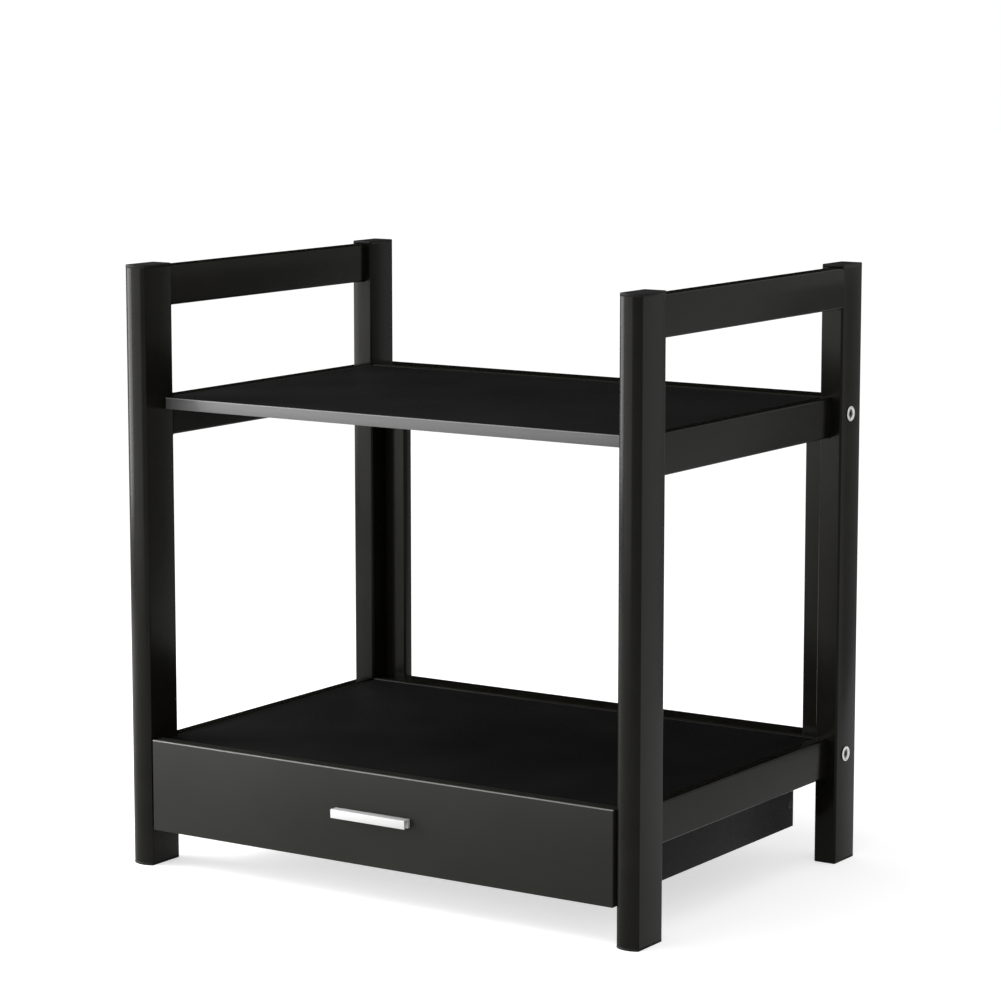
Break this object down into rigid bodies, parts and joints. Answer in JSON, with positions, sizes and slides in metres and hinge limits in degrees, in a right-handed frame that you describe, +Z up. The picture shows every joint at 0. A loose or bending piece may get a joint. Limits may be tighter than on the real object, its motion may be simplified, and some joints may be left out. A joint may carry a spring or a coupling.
{
  "type": "microwave stand with drawer",
  "caption": "Black steel countertop stand with welded side frames, two flat shelves and a shallow drawer with a silver bar pull, on full-extension ball-bearing slides.",
  "frame": {"origin": "on the floor under the middle of the whole stand, handle included", "axes": "+Z up, the drawer opens towards -Y, +X is the right-hand side seen from the front"},
  "size_m": [0.553, 0.4028, 0.56],
  "materials": {
    "black_powder_coat": "satin",
    "black_plastic": "fine moulded grain",
    "black_shelf_laminate": "smooth dark melamine",
    "grey_edge_band": "smooth",
    "charcoal_laminate": "smooth dark melamine",
    "black_melamine": "matt",
    "grey_hardboard": "matt",
    "silver_aluminium": "anodised",
    "bright_collar": "polished",
    "black_screw_steel": "black oxide",
    "zinc_steel": "zinc plated",
    "retainer_steel": "rolled strip",
    "ball_steel": "polished"
  },
  "bodies": {
    "frame": {"left_front_post": "black_powder_coat", "right_front_post": "black_powder_coat", "left_rear_post": "black_powder_coat", "right_rear_post": "black_powder_coat", "left_top_rail": "black_powder_coat", "right_top_rail": "black_powder_coat", "left_middle_rail": "black_powder_coat", "right_middle_rail": "black_powder_coat", "left_lower_rail": "black_powder_coat", "right_lower_rail": "black_powder_coat", "left_back_stile": "black_powder_coat", "right_back_stile": "black_powder_coat", "left_upper_shelf_ledge": "black_powder_coat", "right_upper_shelf_ledge": "black_powder_coat", "left_lower_shelf_ledge": "black_powder_coat", "right_lower_shelf_ledge": "black_powder_coat", "middle_crossrail": "black_powder_coat", "lower_crossrail": "black_powder_coat", "left_front_post_cap": "black_plastic", "right_front_post_cap": "black_plastic", "left_rear_post_cap": "black_plastic", "right_rear_post_cap": "black_plastic", "left_front_foot": "black_plastic", "right_front_foot": "black_plastic", "left_rear_foot": "black_plastic", "right_rear_foot": "black_plastic", "upper_shelf": "black_shelf_laminate", "lower_shelf": "black_shelf_laminate", "upper_shelf_edge_band": "grey_edge_band", "lower_shelf_edge_band": "grey_edge_band", "bolt_collars": "bright_collar", "frame_bolts": "black_screw_steel", "shelf_screws": "black_screw_steel", "crossrail_nut_blocks": "zinc_steel", "slide_rail_screws": "zinc_steel", "left_slide_cabinet_member": "zinc_steel", "right_slide_cabinet_member": "zinc_steel"},
    "drawer": {"left_drawer_side": "black_melamine", "right_drawer_side": "black_melamine", "left_slide_drawer_member": "zinc_steel", "right_slide_drawer_member": "zinc_steel", "drawer_front": "charcoal_laminate", "drawer_back": "black_melamine", "drawer_floor": "grey_hardboard", "drawer_handle": "silver_aluminium", "handle_screws": "zinc_steel", "drawer_front_brackets": "zinc_steel", "drawer_front_screws": "zinc_steel", "drawer_box_screws": "black_screw_steel", "slide_drawer_screws": "zinc_steel"},
    "left_slide_middle": {"left_slide_middle_member": "zinc_steel"},
    "left_slide_outer_race": {"left_slide_outer_retainer": "retainer_steel", "left_slide_outer_balls": "ball_steel"},
    "left_slide_inner_race": {"left_slide_inner_retainer": "retainer_steel", "left_slide_inner_balls": "ball_steel"},
    "right_slide_middle": {"right_slide_middle_member": "zinc_steel"},
    "right_slide_outer_race": {"right_slide_outer_retainer": "retainer_steel", "right_slide_outer_balls": "ball_steel"},
    "right_slide_inner_race": {"right_slide_inner_retainer": "retainer_steel", "right_slide_inner_balls": "ball_steel"}
  },
  "joints": [
    {"name": "drawer_slide", "type": "slide", "parent": "frame", "child": "drawer", "axis": [0, -1, 0], "range_m": [0, 0.28]},
    {"name": "left_slide_middle_slide", "type": "slide", "parent": "frame", "child": "left_slide_middle", "axis": [0, -1, 0], "range_m": [0, 0.14]},
    {"name": "left_slide_outer_race_slide", "type": "slide", "parent": "frame", "child": "left_slide_outer_race", "axis": [0, -1, 0], "range_m": [0, 0.07]},
    {"name": "left_slide_inner_race_slide", "type": "slide", "parent": "frame", "child": "left_slide_inner_race", "axis": [0, -1, 0], "range_m": [0, 0.21]},
    {"name": "right_slide_middle_slide", "type": "slide", "parent": "frame", "child": "right_slide_middle", "axis": [0, -1, 0], "range_m": [0, 0.14]},
    {"name": "right_slide_outer_race_slide", "type": "slide", "parent": "frame", "child": "right_slide_outer_race", "axis": [0, -1, 0], "range_m": [0, 0.07]},
    {"name": "right_slide_inner_race_slide", "type": "slide", "parent": "frame", "child": "right_slide_inner_race", "axis": [0, -1, 0], "range_m": [0, 0.21]}
  ],
  "couplings": [
    {"joint": "left_slide_middle_slide", "follows": "drawer_slide", "ratio": 0.5},
    {"joint": "left_slide_outer_race_slide", "follows": "drawer_slide", "ratio": 0.25},
    {"joint": "left_slide_inner_race_slide", "follows": "drawer_slide", "ratio": 0.75},
    {"joint": "right_slide_middle_slide", "follows": "drawer_slide", "ratio": 0.5},
    {"joint": "right_slide_outer_race_slide", "follows": "drawer_slide", "ratio": 0.25},
    {"joint": "right_slide_inner_race_slide", "follows": "drawer_slide", "ratio": 0.75}
  ]
}
